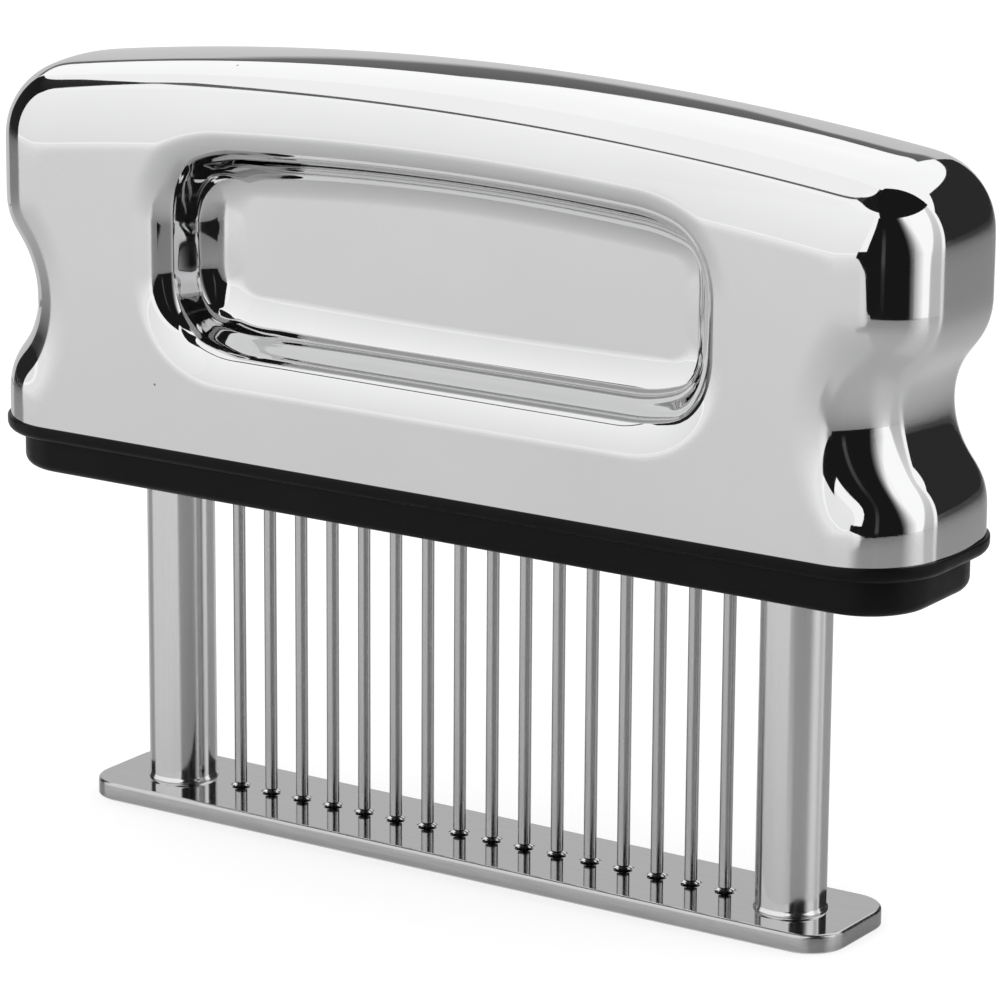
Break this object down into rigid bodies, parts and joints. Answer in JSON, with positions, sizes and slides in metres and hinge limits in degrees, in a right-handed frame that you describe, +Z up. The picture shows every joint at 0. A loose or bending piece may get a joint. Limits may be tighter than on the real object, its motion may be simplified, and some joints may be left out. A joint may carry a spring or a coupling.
{
  "type": "needle meat tenderiser",
  "caption": "Press-type needle meat tenderiser: a waisted chrome handle with grip pockets, sprung on guide posts, pushes a row of steel needles through a foot plate.",
  "frame": {"origin": "centre of the foot plate's underside, which stands on the surface", "axes": "+X along the needle row, +Y from the front face to the back face, +Z up towards the handle"},
  "size_m": [0.1394, 0.03, 0.1032],
  "materials": {
    "chrome": "polished chrome plating",
    "plate_steel": "polished stainless steel",
    "needle_steel": "satin stainless steel",
    "zinc_steel": "zinc plated steel",
    "spring_steel": "bright spring wire",
    "black_plastic": "satin black moulding"
  },
  "bodies": {
    "foot": {"foot_plate": "plate_steel", "foot_screws": "zinc_steel", "left_guide_post": "chrome", "left_stop_ring": "zinc_steel", "left_spring": "spring_steel", "right_guide_post": "chrome", "right_stop_ring": "zinc_steel", "right_spring": "spring_steel"},
    "handle": {"handle_shell": "chrome", "base_body": "black_plastic", "needle_clamp": "zinc_steel", "clamp_screws": "zinc_steel", "shell_screws": "zinc_steel", "needle_01": "needle_steel", "needle_02": "needle_steel", "needle_03": "needle_steel", "needle_04": "needle_steel", "needle_05": "needle_steel", "needle_06": "needle_steel", "needle_07": "needle_steel", "needle_08": "needle_steel", "needle_09": "needle_steel", "needle_10": "needle_steel", "needle_11": "needle_steel", "needle_12": "needle_steel", "needle_13": "needle_steel", "needle_14": "needle_steel", "needle_15": "needle_steel", "needle_16": "needle_steel", "left_spring_cap": "black_plastic", "right_spring_cap": "black_plastic"}
  },
  "joints": [
    {"name": "handle_press", "type": "slide", "parent": "foot", "child": "handle", "axis": [0, 0, -1], "range_m": [0, 0.035], "stiffness_N_per_m": 1200, "springref_m": -0.015, "deforming": ["left_spring", "right_spring"]}
  ]
}
